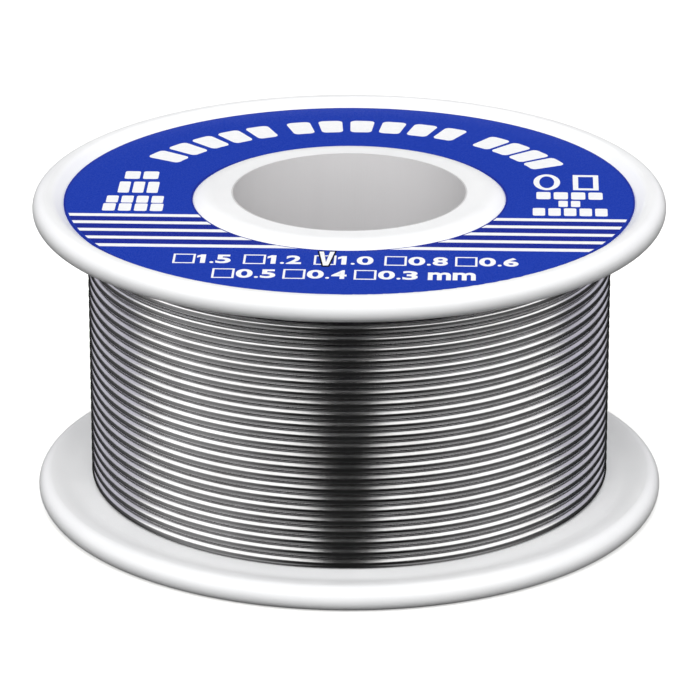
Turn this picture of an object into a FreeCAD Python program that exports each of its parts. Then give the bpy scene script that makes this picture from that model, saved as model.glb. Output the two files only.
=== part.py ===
"""A small spool of 1.0 mm flux-cored solder wire.

Two identical flanges are pressed on the ends of a winding barrel, with a bore tube held
between them. The wire is wound on the barrel in two closed layers, and a paper label lies in
the recess of the upper flange.

Frame: millimetres, +Z along the spool axis, origin on the axis at the face the spool stands on.
"""
import FreeCAD, Part
import math
import os

os.makedirs("parts", exist_ok=True)
Vec = FreeCAD.Vector
UP = Vec(0, 0, 1)

# Overall
FLANGE_DIAMETER = 59.0
BORE_DIAMETER = 21.7

# Wire and winding
WIRE_DIAMETER = 1.0
FLUX_DIAMETER = 0.37
FLUX_SHOWN_LENGTH = 12.0
TURN_GAP = 0.03
TURNS_PER_LAYER = 25
SIDE_GAP = 0.03
BARREL_DIAMETER = 44.8

# Flange
RIM_THICKNESS = 2.35
RIM_LAND_WIDTH = 0.3
RIM_CROWN_RADIUS = 1.0
RIM_SLOPE = 40.0
RIM_BACK_RADIUS = 5.0
WEB_THICKNESS = 1.25
WEB_RECESS = 0.86
COLLAR_RECESS = 0.15
COLLAR_FLAT_WIDTH = 1.85
COLLAR_SHOULDER_WIDTH = 1.9

# Barrel, bore tube and the hidden rings that hold them
BARREL_WALL = 1.2
TUBE_WALL = 1.2
TUBE_END_WIDTH = 0.12
SPIGOT_HEIGHT = 3.0
SPIGOT_WALL = 1.24
SOCKET_HEIGHT = 4.0
SOCKET_WALL = 1.5
RIB_COUNT = 6
RIB_THICKNESS = 1.0
RIB_HEIGHT = 1.6
FIT_GAP = 0.02

# Label
LABEL_THICKNESS = 0.12
LABEL_EDGE_GAP = 0.05

# Where the turns step from one level to the next, degrees round the axis
OUTER_STEP_START = 65.0
STEP_SPAN = 50.0
WIRE_END_GAP = 3.0
TAIL_LEAD = 5.0
TAIL_BEND_RADIUS = 8.0
TAIL_SWEEP = 75.0
SLOT_CLEARANCE = 0.2

# Worked out from the above
FLANGE_RADIUS = FLANGE_DIAMETER / 2
BORE_RADIUS = BORE_DIAMETER / 2
WIRE_RADIUS = WIRE_DIAMETER / 2
PITCH = WIRE_DIAMETER + TURN_GAP
BARREL_RADIUS = BARREL_DIAMETER / 2
BARREL_BORE_RADIUS = BARREL_RADIUS - BARREL_WALL
TUBE_RADIUS = BORE_RADIUS + TUBE_WALL
TUBE_END_RADIUS = BORE_RADIUS + TUBE_END_WIDTH
TUBE_CONE = TUBE_RADIUS - TUBE_END_RADIUS
INNER_LAYER_RADIUS = BARREL_RADIUS + TURN_GAP + WIRE_RADIUS
OUTER_LAYER_RADIUS = INNER_LAYER_RADIUS + PITCH
WINDING_WIDTH = (TURNS_PER_LAYER - 1) * PITCH + WIRE_DIAMETER + 2 * SIDE_GAP
FLANGE_INNER_FACE = WEB_RECESS + WEB_THICKNESS
HEIGHT = WINDING_WIDTH + 2 * FLANGE_INNER_FACE
BEAD_RADIUS = FLANGE_RADIUS - RIM_THICKNESS / 2
CROWN_DROP = RIM_CROWN_RADIUS * (1 - math.cos(math.radians(RIM_SLOPE)))
CROWN_REACH = RIM_CROWN_RADIUS * math.sin(math.radians(RIM_SLOPE))
SLOPE_REACH = (WEB_RECESS - CROWN_DROP) / math.tan(math.radians(RIM_SLOPE))
RIM_INNER_RADIUS = BEAD_RADIUS - RIM_LAND_WIDTH - CROWN_REACH - SLOPE_REACH
COLLAR_RADIUS = BORE_RADIUS + COLLAR_FLAT_WIDTH + COLLAR_SHOULDER_WIDTH
SPIGOT_RADIUS = BARREL_BORE_RADIUS - FIT_GAP
SOCKET_BORE_RADIUS = TUBE_RADIUS + FIT_GAP
FIRST_TURN_HEIGHT = FLANGE_INNER_FACE + SIDE_GAP + WIRE_RADIUS
CLIMB_START = OUTER_STEP_START + STEP_SPAN
INNER_STEP_START = CLIMB_START + STEP_SPAN
INNER_STEP_END = INNER_STEP_START + STEP_SPAN
TAIL_END = INNER_STEP_END + TAIL_LEAD


def at_profile(r, z):
    """A point of a section drawn in the XZ plane."""
    return Vec(r, 0, z)


def line(a, b):
    return Part.LineSegment(a, b).toShape()


def arc_through(a, middle, b):
    return Part.Arc(a, middle, b).toShape()


def turned(edges):
    """The solid that a closed section makes when it turns round the spool axis."""
    return Part.Face(Part.Wire(edges)).revolve(Vec(), UP, 360)


def ring(inner, outer, bottom, top):
    shape = Part.makeCylinder(outer, top - bottom, Vec(0, 0, bottom))
    return shape.cut(Part.makeCylinder(inner, top - bottom, Vec(0, 0, bottom)))


def arc_from(start, tangent, end):
    """The circular arc that leaves start along tangent and reaches end: centre, axis, angle in degrees."""
    chord = end.sub(start)
    axis = tangent.cross(chord).normalize()
    inward = axis.cross(tangent).normalize()
    radius = chord.dot(chord) / (2 * chord.dot(inward))
    angle = 2 * math.asin(chord.Length / (2 * radius))
    if chord.dot(tangent) < 0:
        angle = 2 * math.pi - angle
    return start.add(inward * radius), axis, math.degrees(angle)


def on_circle(radius, degrees, height):
    angle = math.radians(degrees)
    return Vec(radius * math.cos(angle), radius * math.sin(angle), height)


def tangent_at(degrees):
    angle = math.radians(degrees)
    return Vec(-math.sin(angle), math.cos(angle), 0)


def collar_and_rim_edges():
    """The outer side of the flange section, from the bore to the back of the rim."""
    flat_end = BORE_RADIUS + COLLAR_FLAT_WIDTH
    drop = WEB_RECESS - COLLAR_RECESS
    shoulder = (COLLAR_SHOULDER_WIDTH ** 2 + drop ** 2) / (2 * drop)
    half = math.asin(COLLAR_SHOULDER_WIDTH / shoulder) / 2
    bore_edge = at_profile(TUBE_END_RADIUS + FIT_GAP, COLLAR_RECESS)
    shoulder_top = at_profile(flat_end, COLLAR_RECESS)
    shoulder_middle = at_profile(flat_end + shoulder * math.sin(half),
                                 COLLAR_RECESS + shoulder * (1 - math.cos(half)))
    shoulder_foot = at_profile(COLLAR_RADIUS, WEB_RECESS)
    rim_foot = at_profile(RIM_INNER_RADIUS, WEB_RECESS)
    crown_foot = at_profile(RIM_INNER_RADIUS + SLOPE_REACH, CROWN_DROP)
    half_slope = math.radians(RIM_SLOPE) / 2
    crown_middle = at_profile(BEAD_RADIUS - RIM_LAND_WIDTH - RIM_CROWN_RADIUS * math.sin(half_slope),
                              RIM_CROWN_RADIUS * (1 - math.cos(half_slope)))
    land_start = at_profile(BEAD_RADIUS - RIM_LAND_WIDTH, 0)
    land_end = at_profile(BEAD_RADIUS, 0)
    bead_middle = at_profile(FLANGE_RADIUS, RIM_THICKNESS / 2)
    bead_back = at_profile(BEAD_RADIUS, RIM_THICKNESS)
    return [line(bore_edge, shoulder_top),
            arc_through(shoulder_top, shoulder_middle, shoulder_foot),
            line(shoulder_foot, rim_foot),
            line(rim_foot, crown_foot),
            arc_through(crown_foot, crown_middle, land_start),
            line(land_start, land_end),
            arc_through(land_end, bead_middle, bead_back)]


def back_edges():
    """The inner side of the flange section, from the back of the rim to the cone that seats the bore tube."""
    step = RIM_THICKNESS - FLANGE_INNER_FACE
    tilt = math.acos(1 - step / 2 / RIM_BACK_RADIUS)
    reach = RIM_BACK_RADIUS * math.sin(tilt)
    inset = RIM_BACK_RADIUS * math.sin(tilt / 2)
    depth = RIM_BACK_RADIUS * (1 - math.cos(tilt / 2))
    bead_back = at_profile(BEAD_RADIUS, RIM_THICKNESS)
    upper_middle = at_profile(BEAD_RADIUS - inset, RIM_THICKNESS - depth)
    halfway = at_profile(BEAD_RADIUS - reach, RIM_THICKNESS - step / 2)
    lower_middle = at_profile(BEAD_RADIUS - 2 * reach + inset, FLANGE_INNER_FACE + depth)
    fillet_foot = at_profile(BEAD_RADIUS - 2 * reach, FLANGE_INNER_FACE)
    socket_top = FLANGE_INNER_FACE + SOCKET_HEIGHT
    spigot_top = FLANGE_INNER_FACE + SPIGOT_HEIGHT
    corners = [fillet_foot,
               at_profile(SPIGOT_RADIUS, FLANGE_INNER_FACE),
               at_profile(SPIGOT_RADIUS, spigot_top),
               at_profile(SPIGOT_RADIUS - SPIGOT_WALL, spigot_top),
               at_profile(SPIGOT_RADIUS - SPIGOT_WALL, FLANGE_INNER_FACE),
               at_profile(SOCKET_BORE_RADIUS + SOCKET_WALL, FLANGE_INNER_FACE),
               at_profile(SOCKET_BORE_RADIUS + SOCKET_WALL, socket_top),
               at_profile(SOCKET_BORE_RADIUS, socket_top),
               at_profile(SOCKET_BORE_RADIUS, COLLAR_RECESS + TUBE_CONE),
               at_profile(TUBE_END_RADIUS + FIT_GAP, COLLAR_RECESS)]
    straight = [line(a, b) for a, b in zip(corners, corners[1:])]
    rise = [arc_through(bead_back, upper_middle, halfway), arc_through(halfway, lower_middle, fillet_foot)]
    return rise + straight


def stiffening_ribs():
    """Low radial ribs between the tube socket and the spigot ring."""
    inner = SOCKET_BORE_RADIUS + SOCKET_WALL / 2
    outer = SPIGOT_RADIUS - SPIGOT_WALL / 2
    bottom = FLANGE_INNER_FACE - WEB_THICKNESS / 2
    height = WEB_THICKNESS / 2 + RIB_HEIGHT
    ribs = []
    for index in range(RIB_COUNT):
        rib = Part.makeBox(outer - inner, RIB_THICKNESS, height, Vec(inner, -RIB_THICKNESS / 2, bottom))
        rib.rotate(Vec(), UP, (index + 0.5) * 360 / RIB_COUNT)
        ribs.append(rib)
    return ribs


def tail_passage(bottom, top):
    """A curved slot, a little wider than the wire, along the way the wire's start takes through the wall."""
    centre = on_circle(INNER_LAYER_RADIUS - TAIL_BEND_RADIUS, TAIL_END, 0)
    half_width = WIRE_RADIUS + SLOT_CLEARANCE
    outer = TAIL_BEND_RADIUS + half_width
    inner = TAIL_BEND_RADIUS - half_width
    passage = Part.makeCylinder(outer, top - bottom, Vec(centre.x, centre.y, bottom), UP, TAIL_SWEEP)
    passage = passage.cut(Part.makeCylinder(inner, top - bottom, Vec(centre.x, centre.y, bottom)))
    passage.rotate(centre, UP, TAIL_END - TAIL_SWEEP)
    return passage


def flange():
    """The lower flange: its outer face down, its rings and ribs up."""
    body = turned(collar_and_rim_edges() + back_edges())
    body = body.fuse(stiffening_ribs()).removeSplitter()
    notch = tail_passage(FLANGE_INNER_FACE, FLANGE_INNER_FACE + SPIGOT_HEIGHT + FIT_GAP)
    return body.cut(notch)


def upper_flange():
    """The same moulding turned over."""
    body = flange()
    body.rotate(Vec(0, 0, HEIGHT / 2), Vec(1, 0, 0), 180)
    return body


def winding_barrel():
    """The tube that carries the wire, with a slot at its lower end for the wire's start."""
    barrel = ring(BARREL_BORE_RADIUS, BARREL_RADIUS, FLANGE_INNER_FACE, HEIGHT - FLANGE_INNER_FACE)
    slot_top = FIRST_TURN_HEIGHT + WIRE_RADIUS + SLOT_CLEARANCE
    return barrel.cut(tail_passage(FLANGE_INNER_FACE, slot_top))


def bore_tube():
    """The tube round the bore. Each end is a cone that seats in a flange and comes flush with its collar."""
    bottom = COLLAR_RECESS
    top = HEIGHT - COLLAR_RECESS
    corners = [at_profile(BORE_RADIUS, bottom),
               at_profile(TUBE_END_RADIUS, bottom),
               at_profile(TUBE_RADIUS, bottom + TUBE_CONE),
               at_profile(TUBE_RADIUS, top - TUBE_CONE),
               at_profile(TUBE_END_RADIUS, top),
               at_profile(BORE_RADIUS, top)]
    return turned([line(a, b) for a, b in zip(corners, corners[1:] + corners[:1])])


def top_label():
    """A flat paper ring in the recess of the upper flange."""
    bottom = HEIGHT - WEB_RECESS
    return ring(COLLAR_RADIUS, RIM_INNER_RADIUS - LABEL_EDGE_GAP, bottom, bottom + LABEL_THICKNESS)


def level_height(level):
    return FIRST_TURN_HEIGHT + level * PITCH


def flat_arc(radius, start, end, height):
    """An arc round the spool axis."""
    return on_circle(radius, start, height), Vec(0, 0, height), UP, end - start


def level_step(radius, start, from_height, to_height):
    """Two arcs that take a turn from one level to the next, half the step each."""
    rise = to_height - from_height
    first = on_circle(radius, start, from_height)
    last = on_circle(radius, start + STEP_SPAN, to_height)
    middle = on_circle(math.sqrt(radius ** 2 + rise ** 2 / 4), start + STEP_SPAN / 2,
                       (from_height + to_height) / 2)
    up_centre, up_axis, up_angle = arc_from(first, tangent_at(start), middle)
    back_centre, back_axis, back_angle = arc_from(last, tangent_at(start + STEP_SPAN) * -1, middle)
    return [(first, up_centre, up_axis, up_angle), (middle, back_centre, back_axis * -1, back_angle)]


def layer_climb():
    """Two arcs in the top level that take the wire from the inner layer to the outer one."""
    height = level_height(TURNS_PER_LAYER - 1)
    first = on_circle(INNER_LAYER_RADIUS, CLIMB_START, height)
    last = on_circle(OUTER_LAYER_RADIUS, INNER_STEP_START, height)
    leave = tangent_at(CLIMB_START)
    arrive = tangent_at(INNER_STEP_START)
    chord = last.sub(first)
    both = leave.add(arrive)
    a = 2 * (1 - leave.dot(arrive))
    b = 2 * chord.dot(both)
    reach = (math.sqrt(b * b + 4 * a * chord.dot(chord)) - b) / (2 * a)
    middle = first.add(leave * reach).add(last.sub(arrive * reach)) * 0.5
    first_centre, first_axis, first_angle = arc_from(first, leave, middle)
    last_centre, last_axis, last_angle = arc_from(last, arrive * -1, middle)
    return [(first, first_centre, first_axis, first_angle), (middle, last_centre, last_axis * -1, last_angle)]


def wire_route():
    """The arcs of the wire's centre line, from its start inside the barrel to its free end.

    Each arc is its first point, its centre, its axis and its angle in degrees.
    """
    top = TURNS_PER_LAYER - 1
    tail_centre = on_circle(INNER_LAYER_RADIUS - TAIL_BEND_RADIUS, TAIL_END, level_height(0))
    tail_first = tail_centre.add(on_circle(TAIL_BEND_RADIUS, TAIL_END - TAIL_SWEEP, 0))
    route = [(tail_first, tail_centre, UP, TAIL_SWEEP)]
    start = TAIL_END
    for level in range(top):
        height = level_height(level)
        route.append(flat_arc(INNER_LAYER_RADIUS, start, INNER_STEP_START + 360, height))
        route += level_step(INNER_LAYER_RADIUS, INNER_STEP_START, height, level_height(level + 1))
        start = INNER_STEP_END
    route.append(flat_arc(INNER_LAYER_RADIUS, start, CLIMB_START + 360, level_height(top)))
    route += layer_climb()
    start = INNER_STEP_START
    for level in range(top, 0, -1):
        height = level_height(level)
        route.append(flat_arc(OUTER_LAYER_RADIUS, start, OUTER_STEP_START + 360, height))
        route += level_step(OUTER_LAYER_RADIUS, OUTER_STEP_START, height, level_height(level - 1))
        start = CLIMB_START
    free_end = OUTER_STEP_START + 360 - WIRE_END_GAP
    route.append(flat_arc(OUTER_LAYER_RADIUS, CLIMB_START, free_end, level_height(0)))
    return route


def arc_length(arc):
    first, centre, axis, angle = arc
    return math.radians(angle) * first.sub(centre).Length


def round_bar(route, radius):
    """A solid round bar along joined arcs, each stretch of it a part of a torus."""
    first, centre, axis, angle = route[0]
    section = Part.Wire([Part.makeCircle(radius, first, axis.cross(first.sub(centre)))])
    faces = [Part.Face(section)]
    for first, centre, axis, angle in route:
        faces += section.revolve(centre, axis, angle).Faces
        section = section.copy()
        section.rotate(centre, axis, angle)
    faces.append(Part.Face(section))
    shell = Part.makeCompound(faces)
    shell.sewShape()
    return Part.makeSolid(shell.Shells[0])


def flux_stretches(route):
    """The flux in the wire's start tail and before its free end, where the cut ends show it."""
    free_end = OUTER_STEP_START + 360 - WIRE_END_GAP
    sweep = math.degrees(FLUX_SHOWN_LENGTH / OUTER_LAYER_RADIUS)
    end_arc = flat_arc(OUTER_LAYER_RADIUS, free_end - sweep, free_end, level_height(0))
    return [round_bar([route[0]], FLUX_DIAMETER / 2), round_bar([end_arc], FLUX_DIAMETER / 2)]


def solder_wire_and_flux():
    route = wire_route()
    cores = flux_stretches(route)
    wire = round_bar(route, WIRE_RADIUS)
    print("wire length", round(sum(arc_length(arc) for arc in route), 1), "mm")
    print("wire volume over section times length",
          round(wire.Volume / (math.pi * WIRE_RADIUS ** 2 * sum(arc_length(arc) for arc in route)), 5))
    return wire.cut(Part.makeCompound(cores)), Part.makeCompound(cores)


def export(name, shape):
    solids = shape.Solids
    if not solids or not shape.isValid():
        raise ValueError(name + " is not a valid solid")
    result = solids[0] if len(solids) == 1 else Part.makeCompound(solids)
    result.exportStep("parts/" + name + ".step")
    print(name, len(solids), "solids", len(result.Faces), "faces", round(result.Volume, 1), "mm3")


def main():
    export("lower_flange", flange())
    export("upper_flange", upper_flange())
    export("winding_barrel", winding_barrel())
    export("bore_tube", bore_tube())
    export("top_label", top_label())
    wire, flux = solder_wire_and_flux()
    export("solder_wire", wire)
    export("flux_core", flux)


main()
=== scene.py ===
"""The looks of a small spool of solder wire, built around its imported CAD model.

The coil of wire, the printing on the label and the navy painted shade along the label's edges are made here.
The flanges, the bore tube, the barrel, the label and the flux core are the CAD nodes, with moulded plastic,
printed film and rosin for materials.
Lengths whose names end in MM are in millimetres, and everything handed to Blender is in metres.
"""
import math

import bpy
import numpy as np
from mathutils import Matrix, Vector


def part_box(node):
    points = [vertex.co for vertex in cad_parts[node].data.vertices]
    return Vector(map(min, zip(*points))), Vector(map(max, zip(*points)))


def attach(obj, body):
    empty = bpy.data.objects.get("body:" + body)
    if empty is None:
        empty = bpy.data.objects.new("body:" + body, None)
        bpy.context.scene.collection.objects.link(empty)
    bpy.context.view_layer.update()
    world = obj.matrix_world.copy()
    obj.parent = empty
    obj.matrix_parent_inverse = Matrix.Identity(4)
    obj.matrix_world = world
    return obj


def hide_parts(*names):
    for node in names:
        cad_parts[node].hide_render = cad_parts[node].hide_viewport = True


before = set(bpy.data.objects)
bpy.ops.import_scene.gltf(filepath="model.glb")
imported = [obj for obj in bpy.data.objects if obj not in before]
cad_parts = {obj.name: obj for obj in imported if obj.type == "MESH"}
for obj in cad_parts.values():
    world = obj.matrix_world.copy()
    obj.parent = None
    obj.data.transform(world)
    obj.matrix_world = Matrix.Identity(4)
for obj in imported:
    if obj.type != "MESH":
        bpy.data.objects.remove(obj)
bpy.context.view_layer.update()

label_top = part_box("top_label")[1].z
MM = 0.001

# The wire, as it is wound in the CAD model. Angles are anticlockwise from +X, seen from above.
WIRE_DIAMETER_MM = 1.0
FLUX_DIAMETER_MM = 0.37
LAYER_STEP_MM = 1.03
TURNS_PER_LAYER = 25
STEP_DEG = 50
CLIMB_START_DEG = 115
INNER_STEP_START_DEG = 165
OUTER_STEP_START_DEG = 65
WIRE_END_GAP_DEG = 3
TAIL_END_DEG = 220
TAIL_BEND_RADIUS_MM = 8.0
TAIL_SWEEP_DEG = 75
FLUX_HOLE_DEPTH_MM = 0.4
FLUX_CLEARANCE_MM = 0.004
END_EDGE_ROUND_MM = 0.06
WIRE_SIDES = 20
INNER_STATION_DEG = 5.0
OUTER_STATION_DEG = 3.0

# Materials: the two colours that each surface drifts between.
WHITE_PLASTIC = ((0.945, 0.948, 0.955), (0.91, 0.915, 0.925))
BARREL_PLASTIC = ((0.86, 0.865, 0.87), (0.82, 0.825, 0.835))
TUBE_PLASTIC = ((0.69, 0.68, 0.686), (0.65, 0.64, 0.646))
TUBE_DRAG = (1, 1, 0.06)
LABEL_BLUE = ((0.0165, 0.048, 0.40), (0.0155, 0.045, 0.38))
INK_WHITE = ((0.90, 0.90, 0.91), (0.84, 0.845, 0.86))
# The navy is print on the ground between the stripes, and painted shade in the thin rings along the label's
# edges.
NAVY_INK_AND_SHADE = ((0.0165, 0.0305, 0.295), (0.0145, 0.027, 0.27))
INK_BLACK = ((0.010, 0.012, 0.02), (0.006, 0.007, 0.012))
BRIGHT_SOLDER = ((0.70, 0.70, 0.71), (0.61, 0.605, 0.61))
AMBER_ROSIN = ((0.52, 0.22, 0.04), (0.72, 0.42, 0.12))
# How the die's lines on the wire are stretched: along it, and round it.
DRAWN_LINES = (0.12, 26, 1)

# Light, as the brightness of what a surface sees. Directions run from -1 to 1 along each axis.
AMBIENT_ABOVE = 0.86
AMBIENT_BELOW = 0.02
SKY_RISE = (-0.15, 0.5)
HIGH_SKY = (0.25, 0.5)
SIDE_SKY = (0.2, 0.6)
HIGH_SIDES_SHARE = 0.35
BACKGROUND = 1.02
WARM_WHITE = (1.0, 1.0, 0.985)
FLOOR_PAINT = (0.9, 0.9, 0.89)
FLOOR_GLOW = 0.42
FLOOR_RADIUS = 3.0
LIGHTS_AIM = (0, 0, 0.015)
# Soft lights: name, place, width and height in metres, and brightness.
SOFTBOXES = (
    ("key_front", (-0.05, -0.75, 0.85), 0.9, 0.6, 5.0),
    ("fill_low", (0.05, -1.1, 0.10), 1.2, 0.5, 0.25),
    ("side_left_fill", (-0.95, -0.55, 0.36), 0.8, 0.6, 1.3),
    ("side_right_fill", (0.95, -0.55, 0.36), 0.8, 0.6, 1.3),
)
# Ramps of the room that gloss sees: where each starts and ends, and from what to what.
GAP_MIDDLE = -0.02
GAP_EDGE = (0.12, 0.29)
TENT_TILT = 0.28
TENT_FRONT_EDGE = (-0.09, 0.09)
TENT_FOOT = (-0.02, 0.14)
TENT_TO_BACK = (0.06, 0.36, 1.5, 0.0)
TENT_COLOUR = (1.0, 0.995, 0.98)
BACKDROP_RISE = (0.08, 0.4, 0.0, 0.7)
BACKDROP_COLOUR = (0.90, 0.88, 1.0)
WALL_FROM_MIDDLE = (0.3, 0.88)
WALL_FRONT_TO_BACK = (-0.1, 0.45, 1.0, 0.25)
WALL_LEFT_TO_RIGHT = (-0.2, 0.2, 0.27, 0.10)
GROUND_GAP_EDGE = (0.10, 0.30)
GROUND_RISE = (-0.9, -0.6, 0.34, 0.0)
ROOM_DARKEST = 0.012

# The camera: place and aim in metres, lens and sensor in millimetres.
CAMERA_PLACE = (0, -0.4143, 0.1744)
CAMERA_AIM = (0.000066, 0, 0.0140)
CAMERA_LENS = 242.2
CAMERA_SENSOR = 36
CAMERA_CLIP = (0.02, 20)

# The printing and the painted edge shade, on the label's own axes: X to the right and Y away from the reader,
# from the spool's axis.
PRINT_TURN_DEG = -2.03
PRINT_SUNK_MM = 0.006
PRINT_THICKNESS_MM = 0.012
LABEL_INNER_RADIUS_MM = 14.6
LABEL_OUTER_RADIUS_MM = 26.58
# Thin navy rings of painted shade along the label's outer and inner edges: how far in each reaches, and how
# far in it starts.
EDGE_LINE_WIDTH_MM = 0.15
EDGE_LINE_INSET_MM = 0.02
STRIPE_END_GAP_MM = 0.3
STRIPE_HEIGHTS_MM = (-5.69, -7.67, -9.71, -11.74, -13.78)
STRIPE_WIDTH_MM = 0.74
STRIPE_ROWS = 7
TITLE_RADIUS_MM = 20.8
TITLE_HEIGHT_MM = 3.45
TITLE_BLOCK_MM = 2.2
TITLE_CORNER_MM = 0.5
# Each group's first and last block's angle, and how many blocks.
TITLE_GROUPS = ((147.8, 115.9, 5), (105.0, 64.2, 6), (51.2, 29.5, 4))
# Rows of small blocks: left, right, bottom and top edges, and how many blocks.
SMALL_ROWS_MM = (
    (-21.37, -18.19, 4.53, 6.68, 2),
    (-21.70, -17.95, 0.60, 3.70, 3),
    (-22.57, -17.26, -2.21, -0.30, 4),
    (-22.74, -17.14, -4.48, -2.45, 4),
    (17.42, 23.59, 0.10, 2.08, 4),
    (19.47, 21.48, -1.99, -0.34, 2),
    (17.08, 23.98, -4.50, -2.43, 5),
)
SMALL_BLOCK_GAP_MM = 0.3
SMALL_BLOCK_CORNER = 0.18
# Plain marks: middle, width, height and line.
PLAIN_RING_MM = (18.4, 4.9, 2.5, 4.5, 0.55)
PLAIN_SQUARE_MM = (22.05, 4.9, 2.4, 4.3, 0.5)
TICK_BOX_WIDTH_MM = 2.0
TICK_BOX_HEIGHT_MM = 2.42
TICK_BOX_LINE_MM = 0.2
TICK_BOX_PITCH_MM = 6.34
NUMERAL_GAP_MM = 2.15
# First box's left edge, the row's middle, and the gauges.
GAUGE_ROWS_MM = (
    (-15.25, -17.14, ("1.5", "1.2", "1.0", "0.8", "0.6")),
    (-11.53, -20.84, ("0.5", "0.4", "0.3")),
)
TICKED = "1.0"
TICK_OFFSET_MM = (0.1, 0.3)
TICK_LIFT_MM = 0.08
TICK_MM = (1.4, 3.6, 0.42)
TICK_OUTLINE_MM = (1.75, 4.1, 0.62)
UNIT_GAP_MM = 0.9
NUMERAL_HEIGHT_MM = 2.2
NUMERAL_BOLDNESS = 0.03
GLYPH_WIDTHS_MM = {"0": 1.5, "1": 0.78, ".": 0.36, "m": 2.05}
GLYPH_WIDTH_MM = 1.36
GLYPH_SPACE_MM = 0.16
SPACE_AFTER_ONE_MM = 0.24
# Height of the low glyphs as a share of a numeral's.
GLYPH_HEIGHTS = {".": 0.2, "m": 0.88}


def at_angle(radius, degrees, height=0.0):
    """A point on a circle round the spool's axis."""
    a = math.radians(degrees)
    return Vector((radius * math.cos(a), radius * math.sin(a), height))


def new_piece(name, vertices, faces, material, smooth=True):
    """A mesh piece, in metres, that rides on the spool."""
    mesh = bpy.data.meshes.new(name)
    mesh.from_pydata([tuple(v) for v in vertices], [], faces)
    mesh.validate()
    mesh.polygons.foreach_set("use_smooth", [smooth] * len(mesh.polygons))
    mesh.materials.append(material)
    piece = bpy.data.objects.new(name, mesh)
    bpy.context.scene.collection.objects.link(piece)
    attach(piece, "root")
    return piece


# ---------------------------------------------------------------- materials

class Shader:
    """A material's node tree, with short calls."""

    def __init__(self, name):
        self.material = bpy.data.materials.new(name)
        self.material.use_nodes = True
        self.nodes = self.material.node_tree.nodes
        self.links = self.material.node_tree.links
        self.surface = self.nodes["Principled BSDF"]

    def node(self, kind, **settings):
        """A new node with some of its settings."""
        made = self.nodes.new(kind)
        for key, value in settings.items():
            setattr(made, key, value)
        return made

    def set(self, **values):
        """Constants on the surface shader's own sockets."""
        for key, value in values.items():
            self.surface.inputs[key.replace("_", " ")].default_value = value

    def noise(self, vector, scale, detail=3.0, roughness=0.5):
        """Noise with about scale cells to the metre."""
        made = self.node("ShaderNodeTexNoise")
        made.inputs["Scale"].default_value = scale
        made.inputs["Detail"].default_value = detail
        made.inputs["Roughness"].default_value = roughness
        self.links.new(vector, made.inputs["Vector"])
        return made.outputs["Fac"]

    def place(self, stretch=(1, 1, 1)):
        """The point on the object, in metres, stretched along its axes."""
        here = self.node("ShaderNodeTexCoord")
        scaled = self.node("ShaderNodeVectorMath", operation="MULTIPLY")
        scaled.inputs[1].default_value = stretch
        self.links.new(here.outputs["Object"], scaled.inputs[0])
        return scaled.outputs[0]

    def between(self, factor, low, high, to_low, to_high):
        """factor from low to high mapped to numbers from to_low to to_high."""
        made = self.node("ShaderNodeMapRange")
        for key, value in (("From Min", low), ("From Max", high), ("To Min", to_low), ("To Max", to_high)):
            made.inputs[key].default_value = value
        self.links.new(factor, made.inputs["Value"])
        return made.outputs[0]

    def blend(self, factor, first, second):
        """A colour between first and second."""
        made = self.node("ShaderNodeMix", data_type="RGBA")
        self.links.new(factor, made.inputs["Factor"])
        colours = [s for s in made.inputs if s.type == "RGBA"]
        for socket, colour in zip(colours, (first, second)):
            socket.default_value = (*colour, 1.0)
        return [s for s in made.outputs if s.type == "RGBA"][0]

    def bump(self, height, distance, strength=1.0, under=None):
        """A surface raised by height, on top of another one if it is given."""
        made = self.node("ShaderNodeBump")
        made.inputs["Distance"].default_value = distance
        made.inputs["Strength"].default_value = strength
        self.links.new(height, made.inputs["Height"])
        if under is not None:
            self.links.new(under, made.inputs["Normal"])
        return made.outputs["Normal"]

    def to(self, output, socket):
        """Drive one of the surface shader's sockets."""
        self.links.new(output, self.surface.inputs[socket])


def moulded_plastic(name, colours, roughness, drag=(1, 1, 1)):
    """Polystyrene from a mould: faint flow clouds, a fine skin, and scuffs that break the gloss."""
    light, dark = colours
    s = Shader(name)
    clouds = s.noise(s.place(drag), 90, 4)
    skin = s.noise(s.place(drag), 5200, 2)
    scuffs = s.noise(s.place(), 700, 6, 0.7)
    s.to(s.blend(s.between(clouds, 0.35, 0.65, 0, 1), dark, light), "Base Color")
    s.to(s.between(scuffs, 0.35, 0.75, roughness - 0.05, roughness + 0.12), "Roughness")
    waves = s.bump(clouds, 0.00012)
    s.to(s.bump(skin, 0.000012, 0.6, waves), "Normal")
    s.set(IOR=1.55)
    return s.material


def printed_film(name, colours):
    """Label film with ink on it: slight mottle in the ink and a very fine grain, and next to no gloss."""
    colour, dark = colours
    s = Shader(name)
    mottle = s.noise(s.place(), 1500, 5, 0.6)
    grain = s.noise(s.place(), 9000, 2)
    s.to(s.blend(s.between(mottle, 0.3, 0.7, 0, 1), dark, colour), "Base Color")
    s.to(s.between(grain, 0.3, 0.7, 0.20, 0.34), "Roughness")
    s.to(s.bump(grain, 0.000006, 0.5), "Normal")
    s.set(IOR=1.15, Specular_IOR_Level=0.06)
    return s.material


def drawn_solder(name):
    """Bright tin alloy wire: lines along it from the die, dull patches, and soft dents from winding."""
    s = Shader(name)
    s.set(Metallic=1.0)
    route = s.node("ShaderNodeUVMap", uv_map="route")
    lines_at = s.node("ShaderNodeVectorMath", operation="MULTIPLY")
    lines_at.inputs[1].default_value = DRAWN_LINES
    s.links.new(route.outputs[0], lines_at.inputs[0])
    lines = s.noise(lines_at.outputs[0], 2.0, 3)
    patches = s.noise(s.place(), 260, 4, 0.6)
    dents = s.noise(s.place(), 420, 2)
    s.to(s.blend(s.between(patches, 0.35, 0.7, 0, 1), *BRIGHT_SOLDER), "Base Color")
    s.to(s.between(patches, 0.3, 0.75, 0.14, 0.22), "Roughness")
    s.to(s.bump(lines, 0.000004, 0.5, s.bump(dents, 0.00004, 0.2)), "Normal")
    return s.material


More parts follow.
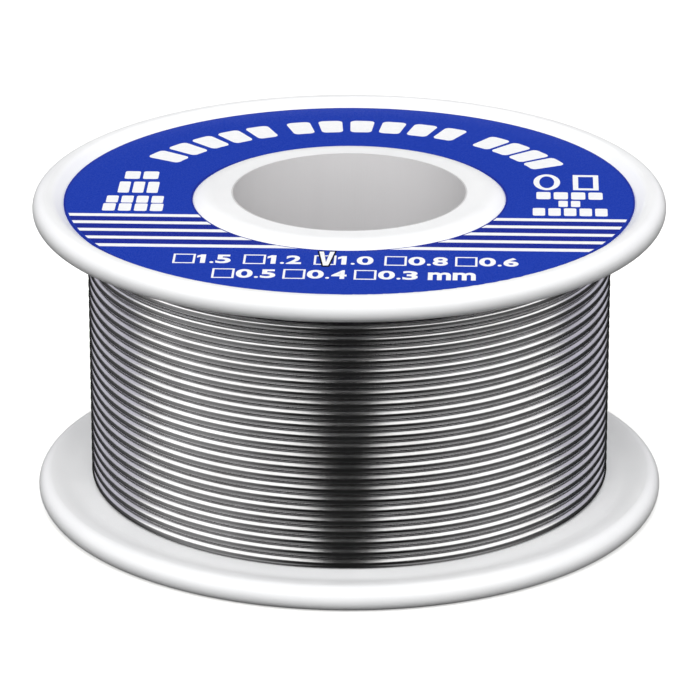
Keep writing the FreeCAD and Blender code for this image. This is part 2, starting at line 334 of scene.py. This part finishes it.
def rosin(name):
    """Amber flux at the wire's cut ends."""
    s = Shader(name)
    cloud = s.noise(s.place(), 4000, 3)
    s.to(s.blend(cloud, *AMBER_ROSIN), "Base Color")
    s.to(s.bump(cloud, 0.00002), "Normal")
    s.set(Roughness=0.25, IOR=1.52)
    return s.material


# ------------------------------------------------------------ coil of wire

def eased(t):
    """0 to 1 along two equal arcs, so that the wire leaves and arrives level."""
    return 2 * t * t if t < 0.5 else 1 - 2 * (1 - t) * (1 - t)


def stations(start, end, step):
    """Angles from start to end in equal steps of about step degrees, without the last."""
    count = max(1, round((end - start) / step))
    return [start + (end - start) * i / count for i in range(count)]


def wire_centre_line(inner_radius, outer_radius, first_height, pitch):
    """The wire's centre line in millimetres, from the tail inside the barrel to the free end."""
    coarse, fine = INNER_STATION_DEG, OUTER_STATION_DEG
    points = []
    centre = at_angle(inner_radius - TAIL_BEND_RADIUS_MM, TAIL_END_DEG, first_height)
    for a in stations(TAIL_END_DEG - TAIL_SWEEP_DEG, TAIL_END_DEG, coarse):
        points.append(centre + at_angle(TAIL_BEND_RADIUS_MM, a))
    top = TURNS_PER_LAYER - 1
    start = TAIL_END_DEG
    for level in range(top):
        height = first_height + level * pitch
        turn = stations(start, INNER_STEP_START_DEG + 360, coarse)
        points += [at_angle(inner_radius, a, height) for a in turn]
        for a in stations(INNER_STEP_START_DEG, INNER_STEP_START_DEG + STEP_DEG, coarse):
            rise = pitch * eased((a - INNER_STEP_START_DEG) / STEP_DEG)
            points.append(at_angle(inner_radius, a, height + rise))
        start = INNER_STEP_START_DEG + STEP_DEG
    height = first_height + top * pitch
    points += [at_angle(inner_radius, a, height) for a in stations(start, CLIMB_START_DEG + 360, coarse)]
    for a in stations(CLIMB_START_DEG, INNER_STEP_START_DEG, fine):
        climb = (outer_radius - inner_radius) * eased((a - CLIMB_START_DEG) / STEP_DEG)
        points.append(at_angle(inner_radius + climb, a, height))
    start = INNER_STEP_START_DEG
    for level in range(top, 0, -1):
        height = first_height + level * pitch
        turn = stations(start, OUTER_STEP_START_DEG + 360, fine)
        points += [at_angle(outer_radius, a, height) for a in turn]
        for a in stations(OUTER_STEP_START_DEG, OUTER_STEP_START_DEG + STEP_DEG, fine):
            drop = pitch * eased((a - OUTER_STEP_START_DEG) / STEP_DEG)
            points.append(at_angle(outer_radius, a, height - drop))
        start = OUTER_STEP_START_DEG + STEP_DEG
    free_end = OUTER_STEP_START_DEG + 360 - WIRE_END_GAP_DEG
    points += [at_angle(outer_radius, a, first_height) for a in stations(start, free_end, fine)]
    points.append(at_angle(outer_radius, free_end, first_height))
    return np.array(points)


def bar_frames(points):
    """At each point of a line, the direction along it and two directions across it."""
    along = np.gradient(points, axis=0)
    along /= np.linalg.norm(along, axis=1)[:, None]
    up = np.array([0.0, 0.0, 1.0])
    level = np.cross(along, up)
    level /= np.linalg.norm(level, axis=1)[:, None]
    return along, level, np.cross(level, along)


def cored_wire(name, points, material):
    """A round wire along the points, with its cut ends open round the flux core."""
    sides = WIRE_SIDES
    radius = WIRE_DIAMETER_MM / 2
    hole = FLUX_DIAMETER_MM / 2 + FLUX_CLEARANCE_MM
    along, level, up = bar_frames(points)
    # The rings of vertices: where on the line, how far along from there, and how large.
    cut = [(FLUX_HOLE_DEPTH_MM, hole), (0.0, hole)]
    cut += [(0.0, radius - END_EDGE_ROUND_MM), (END_EDGE_ROUND_MM, radius)]
    last = len(points) - 1
    rings = [(0, depth, size) for depth, size in cut]
    rings += [(i, 0.0, radius) for i in range(1, last)]
    rings += [(last, -depth, size) for depth, size in cut[::-1]]
    turn = np.arange(sides) * 2 * math.pi / sides
    vertices = []
    for i, shift, size in rings:
        across = np.outer(np.cos(turn), level[i]) + np.outer(np.sin(turn), up[i])
        vertices.append(points[i] + shift * along[i] + size * across)
    vertices = np.concatenate(vertices) * MM
    faces = []
    for r in range(len(rings) - 1):
        for s in range(sides):
            a, b = r * sides + s, r * sides + (s + 1) % sides
            faces.append((a, b, b + sides, a + sides))
    faces.append(tuple(range(sides - 1, -1, -1)))
    faces.append(tuple((len(rings) - 1) * sides + s for s in range(sides)))
    wire = new_piece(name, vertices, faces, material)
    add_route_map(wire.data, points, rings)
    return wire


def add_route_map(mesh, points, rings):
    """A map whose U is millimetres along the wire and whose V goes once round it."""
    sides = WIRE_SIDES
    run = np.concatenate([[0], np.cumsum(np.linalg.norm(np.diff(points, axis=0), axis=1))])
    layer = mesh.uv_layers.new(name="route")
    values = np.zeros((len(mesh.loops), 2))
    for face in mesh.polygons:
        for loop in face.loop_indices:
            vertex = mesh.loops[loop].vertex_index
            ring, side = divmod(vertex, sides)
            low_side = min(mesh.loops[i].vertex_index % sides for i in face.loop_indices)
            wrapped = side == 0 and low_side == 0 and len(face.loop_indices) == 4 and any(
                mesh.loops[i].vertex_index % sides == sides - 1 for i in face.loop_indices)
            values[loop] = run[rings[ring][0]], (sides if wrapped else side) / sides
    layer.uv.foreach_set("vector", values.astype(np.float32).ravel())


# --------------------------------------------------------- label printing, and the painted shade at its edges

def on_label(x, y, lift):
    """A point in metres, from millimetres on the label's own axes and above its top."""
    turn = math.radians(PRINT_TURN_DEG)
    return (MM * (x * math.cos(turn) - y * math.sin(turn)),
            MM * (x * math.sin(turn) + y * math.cos(turn)),
            label_top + MM * lift)


def printed(name, sheets, material, layer=0):
    """Ink shapes as one piece, and also the rings of painted shade along the label's edges. A sheet is rows
    of points, and whether those rows are closed rings.
    """
    heights = (-PRINT_SUNK_MM, PRINT_THICKNESS_MM * (1 + 0.5 * layer))
    vertices, faces = [], []
    for rows, closed in sheets:
        start, wide = len(vertices), len(rows[0])
        count = wide * len(rows)
        vertices += [on_label(x, y, lift) for lift in heights for row in rows for x, y in row]

        def quad(r, c, lift):
            n = (c + 1) % wide
            return [start + lift + r * wide + c, start + lift + r * wide + n,
                    start + lift + (r + 1) * wide + n, start + lift + (r + 1) * wide + c]

        columns = wide if closed else wide - 1
        for r in range(len(rows) - 1):
            for c in range(columns):
                faces.append(quad(r, c, count))
                faces.append(quad(r, c, 0)[::-1])
        rims = [[(0, c) for c in range(wide)][::-1], [(len(rows) - 1, c) for c in range(wide)]]
        if closed:
            rims = [rim + rim[:1] for rim in rims]
        else:
            rims += [[(r, 0) for r in range(len(rows))], [(r, wide - 1) for r in range(len(rows))][::-1]]
        for rim in rims:
            for (r0, c0), (r1, c1) in zip(rim, rim[1:]):
                a, b = start + r0 * wide + c0, start + r1 * wide + c1
                faces.append([a, a + count, b + count, b])
    return new_piece(name, vertices, faces, material, smooth=False)


def band_round_axis(inner, outer):
    """A ring round the axis, as navy painted shade along one of the label's edges."""
    return [[tuple(at_angle(r, a)[:2]) for a in range(0, 360, 2)] for r in (inner, outer)], True


def cross_bands(low, high):
    """A straight bar across the label, in the two parts that the middle of the spool leaves."""
    inner = LABEL_INNER_RADIUS_MM + EDGE_LINE_WIDTH_MM
    outer = LABEL_OUTER_RADIUS_MM - STRIPE_END_GAP_MM
    heights = np.linspace(low, high, STRIPE_ROWS)
    right = [[(math.sqrt(r * r - y * y), y) for r in (inner, outer)] for y in heights]
    left = [[(-b[0], y), (-a[0], y)] for (a, b), y in zip(right, heights)]
    return [(right, False), (left, False)]


def rounded_rows(half_width, half_height, corner):
    """Rows of points that fill a rectangle with rounded corners, about its middle."""
    rows = []
    for t in np.linspace(0, math.pi / 2, 6):
        rows.append((-half_height + corner * (1 - math.cos(t)), half_width - corner * (1 - math.sin(t))))
    rows += [(-y, w) for y, w in rows[::-1]]
    return rows


def arc_block(degrees, radius, width, height):
    """A title block that follows the arc."""
    rows = []
    for v, half in rounded_rows(width / 2, height / 2, TITLE_CORNER_MM):
        angles = [degrees - math.degrees(u / radius) for u in np.linspace(-half, half, 6)]
        rows.append([tuple(at_angle(radius + v, a)[:2]) for a in angles])
    return rows, False


def straight_block(x, y, width, height):
    """A rectangle with rounded corners about a middle point."""
    corner = min(width, height) * SMALL_BLOCK_CORNER
    rows = [[(x - half, y + v), (x + half, y + v)] for v, half in rounded_rows(width / 2, height / 2, corner)]
    return rows, False


def box_outline(x, y, width, height, thickness):
    """The outline of a rectangle."""
    def corners(inset):
        w, h = width / 2 - inset, height / 2 - inset
        return [(x - w, y - h), (x + w, y - h), (x + w, y + h), (x - w, y + h)]
    return [corners(thickness), corners(0)], True


def ring_outline(x, y, width, height, thickness):
    """The outline of an oval."""
    def oval(inset):
        return [(x + (width / 2 - inset) * math.cos(a), y + (height / 2 - inset) * math.sin(a))
                for a in np.linspace(0, 2 * math.pi, 40, endpoint=False)]
    return [oval(thickness), oval(0)], True


def tick_stroke(x, y, width, height, thickness):
    """A V-shaped tick about a middle point."""
    w, h = width / 2, height / 2
    outer = [(x - w, y + h), (x - thickness * 0.55, y - h), (x + thickness * 0.55, y - h), (x + w, y + h)]
    inner = [(x - w + thickness, y + h), (x - 0.01, y - h + thickness * 2.2),
             (x + 0.01, y - h + thickness * 2.2), (x + w - thickness, y + h)]
    return [outer, inner], False


def text_width(text):
    """From the left of a text's first glyph to the right of its last."""
    widths = [GLYPH_WIDTHS_MM.get(c, GLYPH_WIDTH_MM) for c in text]
    return sum(widths) + GLYPH_SPACE_MM * (len(text) - 1)


def figure_one():
    """A plain heavy 1: a stem with a flag, its box 0 to 1."""
    outline = [(0.42, 0), (1, 0), (1, 1), (0.46, 1), (0, 0.84), (0, 0.62), (0.42, 0.74)]
    count = len(outline)
    points = np.array([(x, y, z) for z in (0, 1) for x, y in outline])
    faces = [list(range(count))[::-1], [count + i for i in range(count)]]
    faces += [[i, (i + 1) % count, count + (i + 1) % count, count + i] for i in range(count)]
    return points, faces


def numeral_mesh(char):
    """A heavy glyph as a thin closed mesh, its box moved to 0..1 in X and Y."""
    if char == "1":
        return figure_one()
    curve = bpy.data.curves.new("glyph", "FONT")
    curve.body = char
    curve.offset = NUMERAL_BOLDNESS
    curve.extrude = 0.01
    curve.resolution_u = 6
    holder = bpy.data.objects.new("glyph", curve)
    bpy.context.scene.collection.objects.link(holder)
    evaluated = holder.evaluated_get(bpy.context.evaluated_depsgraph_get())
    mesh = bpy.data.meshes.new_from_object(evaluated)
    co = np.array([v.co for v in mesh.vertices])
    faces = [list(p.vertices) for p in mesh.polygons]
    bpy.data.objects.remove(holder)
    bpy.data.curves.remove(curve)
    bpy.data.meshes.remove(mesh)
    low, high = co.min(0), co.max(0)
    return (co - low) / (high - low), faces


def numerals(name, rows, material):
    """Printed numbers. A row is a text, its left edge and its middle height."""
    vertices, faces, made = [], [], {}
    for text, left, middle in rows:
        x = left
        for char in text:
            width = GLYPH_WIDTHS_MM.get(char, GLYPH_WIDTH_MM)
            if char not in made:
                made[char] = numeral_mesh(char)
            unit, glyph_faces = made[char]
            tall = GLYPH_HEIGHTS.get(char, 1.0) * NUMERAL_HEIGHT_MM
            base = middle - NUMERAL_HEIGHT_MM / 2
            start = len(vertices)
            for u, v, w in unit:
                lift = w * (PRINT_THICKNESS_MM + PRINT_SUNK_MM) - PRINT_SUNK_MM
                vertices.append(on_label(x + u * width, base + v * tall, lift))
            faces += [[start + i for i in f] for f in glyph_faces]
            x += width + GLYPH_SPACE_MM + (SPACE_AFTER_ONE_MM if char == "1" else 0)
    return new_piece(name, vertices, faces, material, smooth=False)


def title_blocks():
    """The blocks that stand for the title's letters, on an arc."""
    blocks = []
    for first, last, count in TITLE_GROUPS:
        for angle in np.linspace(first, last, count):
            blocks.append(arc_block(angle, TITLE_RADIUS_MM, TITLE_BLOCK_MM, TITLE_HEIGHT_MM))
    return blocks


def small_blocks():
    """The blocks that stand for the small text at the sides."""
    blocks = []
    for left, right, low, high, count in SMALL_ROWS_MM:
        pitch = (right - left + SMALL_BLOCK_GAP_MM) / count
        for i in range(count):
            x = left + pitch * (i + 0.5) - SMALL_BLOCK_GAP_MM / 2
            blocks.append(straight_block(x, (low + high) / 2, pitch - SMALL_BLOCK_GAP_MM, high - low))
    return blocks


def label_printing(white, navy, black):
    """All the printing, and the navy painted shade along the label's edges, one piece for each kind of mark.
    """
    inner, outer = LABEL_INNER_RADIUS_MM, LABEL_OUTER_RADIUS_MM
    # Painted shade: thin navy rings along the label's outer and inner edges, where the rim's wall and the
    # collar rise from it.
    lines = [band_round_axis(outer - EDGE_LINE_WIDTH_MM, outer - EDGE_LINE_INSET_MM),
             band_round_axis(inner + EDGE_LINE_INSET_MM, inner + EDGE_LINE_WIDTH_MM)]
    printed("painted_edge_shade", lines, navy)
    half = STRIPE_WIDTH_MM / 2
    stripes = [s for y in STRIPE_HEIGHTS_MM for s in cross_bands(y - half, y + half)]
    printed("print_stripes", stripes, white)
    neighbours = zip(STRIPE_HEIGHTS_MM, STRIPE_HEIGHTS_MM[1:])
    ground = [s for above, below in neighbours for s in cross_bands(below + half, above - half)]
    printed("print_stripe_ground", ground, navy)
    printed("print_title_blocks", title_blocks(), white)
    printed("print_small_blocks", small_blocks(), white)
    printed("print_plain_marks", [ring_outline(*PLAIN_RING_MM), box_outline(*PLAIN_SQUARE_MM)], white)
    boxes, texts = [], []
    box_size = (TICK_BOX_WIDTH_MM, TICK_BOX_HEIGHT_MM, TICK_BOX_LINE_MM)
    for left, middle, gauges in GAUGE_ROWS_MM:
        for i, gauge in enumerate(gauges):
            x = left + i * TICK_BOX_PITCH_MM
            box_middle = x + TICK_BOX_WIDTH_MM / 2
            boxes.append(box_outline(box_middle, middle, *box_size))
            texts.append((gauge, x + NUMERAL_GAP_MM, middle))
            if gauge == TICKED:
                tick_x, tick_y = box_middle + TICK_OFFSET_MM[0], middle + TICK_OFFSET_MM[1]
    unit_left = x + NUMERAL_GAP_MM + text_width(gauges[-1]) + UNIT_GAP_MM
    texts.append(("mm", unit_left, middle))
    printed("print_tick_boxes", boxes, white)
    numerals("print_numerals", texts, white)
    printed("print_tick_outline", [tick_stroke(tick_x, tick_y, *TICK_OUTLINE_MM)], black, layer=1)
    printed("print_tick", [tick_stroke(tick_x, tick_y + TICK_LIFT_MM, *TICK_MM)], white, layer=2)


# --------------------------------------------------------- studio

def softbox(name, place, width, height, radiance):
    """A plain rectangular soft light, kept out of the gloss, where the sky's tents stand for it."""
    light = bpy.data.lights.new(name, "AREA")
    light.shape = "RECTANGLE"
    light.size = width
    light.size_y = height
    light.energy = radiance * math.pi * width * height
    lamp = bpy.data.objects.new(name, light)
    lamp.location = place
    lamp.rotation_mode = "QUATERNION"
    lamp.rotation_quaternion = (Vector(LIGHTS_AIM) - Vector(place)).to_track_quat("-Z", "Y")
    lamp.visible_camera = False
    lamp.visible_glossy = False
    bpy.context.scene.collection.objects.link(lamp)


class Sky:
    """The world's node tree, with short calls for numbers that depend on a direction."""

    def __init__(self, world):
        world.use_nodes = True
        self.nodes, self.links = world.node_tree.nodes, world.node_tree.links
        self.nodes.clear()
        ways = self.nodes.new("ShaderNodeSeparateXYZ")
        self.links.new(self.nodes.new("ShaderNodeTexCoord").outputs["Generated"], ways.inputs[0])
        self.x, self.y, self.z = ways.outputs

    def put(self, value, socket):
        """Give a socket a number or another node's output."""
        if isinstance(value, bpy.types.NodeSocket):
            self.links.new(value, socket)
        else:
            socket.default_value = value

    def math(self, operation, first, second=0.0):
        """One arithmetic step."""
        made = self.nodes.new("ShaderNodeMath")
        made.operation = operation
        self.put(first, made.inputs[0])
        self.put(second, made.inputs[1])
        return made.outputs[0]

    def times(self, *values):
        """The product of some values."""
        out = values[0]
        for value in values[1:]:
            out = self.math("MULTIPLY", out, value)
        return out

    def rise(self, value, low, high, to_low=0.0, to_high=1.0):
        """Smoothly from to_low to to_high as value goes from low to high."""
        made = self.nodes.new("ShaderNodeMapRange")
        made.interpolation_type = "SMOOTHSTEP"
        for key, number in (("Value", value), ("From Min", low), ("From Max", high),
                            ("To Min", to_low), ("To Max", to_high)):
            self.put(number, made.inputs[key])
        return made.outputs[0]

    def light(self, strength, colour=(1, 1, 1)):
        """Light of one colour that comes from the sky."""
        made = self.nodes.new("ShaderNodeBackground")
        made.inputs["Color"].default_value = (*colour, 1)
        self.put(strength, made.inputs["Strength"])
        return made.outputs[0]

    def join(self, kind, first, second, factor=None):
        """Two lights added, or mixed by factor."""
        made = self.nodes.new(kind)
        if factor is not None:
            self.put(factor, made.inputs[0])
        sockets = [socket for socket in made.inputs if socket.type == "SHADER"]
        self.links.new(first, sockets[0])
        self.links.new(second, sockets[1])
        return made.outputs[0]


def gloss_room(sky):
    """What gloss sees: two overhead tents of cloth with a dark gap between them, over a dim room."""
    aside = sky.math("ABSOLUTE", sky.math("SUBTRACT", sky.x, GAP_MIDDLE))
    gap = sky.rise(aside, *GAP_EDGE)
    front_edge = sky.rise(sky.math("ADD", sky.z, sky.times(sky.y, TENT_TILT)), *TENT_FRONT_EDGE)
    above = sky.rise(sky.z, *TENT_FOOT)
    cloth = sky.light(sky.times(gap, front_edge, above, sky.rise(sky.y, *TENT_TO_BACK)), TENT_COLOUR)
    backdrop = sky.light(sky.times(gap, above, sky.rise(sky.y, *BACKDROP_RISE)), BACKDROP_COLOUR)
    wall = sky.times(sky.rise(aside, *WALL_FROM_MIDDLE), sky.rise(sky.y, *WALL_FRONT_TO_BACK),
                     sky.rise(sky.x, *WALL_LEFT_TO_RIGHT))
    ground = sky.times(sky.rise(aside, *GROUND_GAP_EDGE), sky.rise(sky.z, *GROUND_RISE))
    dim = sky.light(sky.math("ADD", sky.math("ADD", wall, ground), ROOM_DARKEST))
    return sky.join("ShaderNodeAddShader", sky.join("ShaderNodeAddShader", cloth, backdrop), dim)


def studio_world():
    """White behind the object, even light on dull surfaces, and the tents in the gloss."""
    world = bpy.data.worlds.new("studio")
    sky = Sky(world)
    rays = sky.nodes.new("ShaderNodeLightPath")
    sideways = sky.math("ABSOLUTE", sky.x)
    high_sides = sky.times(sky.rise(sky.z, *HIGH_SKY), sky.rise(sideways, *SIDE_SKY))
    open_sky = sky.rise(sky.z, *SKY_RISE, AMBIENT_BELOW, AMBIENT_ABOVE)
    even = sky.light(sky.times(open_sky, sky.rise(high_sides, 0.0, 1.0, 1.0, HIGH_SIDES_SHARE)))
    white = sky.light(BACKGROUND, WARM_WHITE)
    lit = sky.join("ShaderNodeMixShader", even, gloss_room(sky), rays.outputs["Is Glossy Ray"])
    seen = sky.join("ShaderNodeMixShader", lit, white, rays.outputs["Is Camera Ray"])
    out = sky.nodes.new("ShaderNodeOutputWorld")
    sky.links.new(seen, out.inputs[0])
    bpy.context.scene.world = world


def pale_floor():
    """A plain pale floor that the spool stands on."""
    mesh = bpy.data.meshes.new("floor")
    ring = [at_angle(FLOOR_RADIUS, a) for a in range(0, 360, 10)]
    mesh.from_pydata([tuple(p) for p in ring], [], [tuple(range(len(ring)))])
    s = Shader("floor_paint")
    s.set(Base_Color=(*FLOOR_PAINT, 1), Roughness=0.9)
    s.set(Emission_Color=(*WARM_WHITE, 1), Emission_Strength=FLOOR_GLOW)
    mesh.materials.append(s.material)
    floor = bpy.data.objects.new("floor", mesh)
    bpy.context.scene.collection.objects.link(floor)
    floor.visible_glossy = False
    floor.visible_diffuse = False


def studio_camera():
    """A long lens in front of the spool, looking a little down on it."""
    camera = bpy.data.cameras.new("camera")
    camera.lens = CAMERA_LENS
    camera.sensor_width = CAMERA_SENSOR
    camera.clip_start, camera.clip_end = CAMERA_CLIP
    eye = bpy.data.objects.new("camera", camera)
    eye.location = CAMERA_PLACE
    eye.rotation_mode = "QUATERNION"
    eye.rotation_quaternion = (Vector(CAMERA_AIM) - eye.location).to_track_quat("-Z", "Y")
    bpy.context.scene.collection.objects.link(eye)
    bpy.context.scene.camera = eye


# ------------------------------------------------------------- the object

white_plastic = moulded_plastic("white_plastic_skin", WHITE_PLASTIC, 0.36)
barrel_plastic = moulded_plastic("barrel_plastic_skin", BARREL_PLASTIC, 0.42)
tube_plastic = moulded_plastic("tube_plastic_skin", TUBE_PLASTIC, 0.34, TUBE_DRAG)
label_blue = printed_film("label_blue_film", LABEL_BLUE)
ink_white = printed_film("ink_white", INK_WHITE)
# Navy ink for the ground between the stripes, and the same navy as painted shade along the label's edges.
navy_ink_and_shade = printed_film("navy_ink_and_shade", NAVY_INK_AND_SHADE)
ink_black = printed_film("ink_black", INK_BLACK)
solder = drawn_solder("solder_skin")
flux = rosin("flux_rosin")

for node, material in (
    ("lower_flange", white_plastic),
    ("upper_flange", white_plastic),
    ("winding_barrel", barrel_plastic),
    ("bore_tube", tube_plastic),
    ("top_label", label_blue),
    ("flux_core", flux),
):
    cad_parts[node].data.materials[0] = material
# The coil reflects the dark room below it, not the white flange.
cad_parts["lower_flange"].visible_glossy = False

coil_low, coil_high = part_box("solder_wire")
outer_layer = coil_high.x / MM - WIRE_DIAMETER_MM / 2
coil_pitch = ((coil_high.z - coil_low.z) / MM - WIRE_DIAMETER_MM) / (TURNS_PER_LAYER - 1)
first_height = coil_low.z / MM + WIRE_DIAMETER_MM / 2
line = wire_centre_line(outer_layer - LAYER_STEP_MM, outer_layer, first_height, coil_pitch)
wire = cored_wire("wound_wire", line, solder)
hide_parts("solder_wire")
label_printing(ink_white, navy_ink_and_shade, ink_black)

pale_floor()
studio_world()
for box in SOFTBOXES:
    softbox(*box)
studio_camera()
bpy.context.scene.view_settings.view_transform = "Standard"
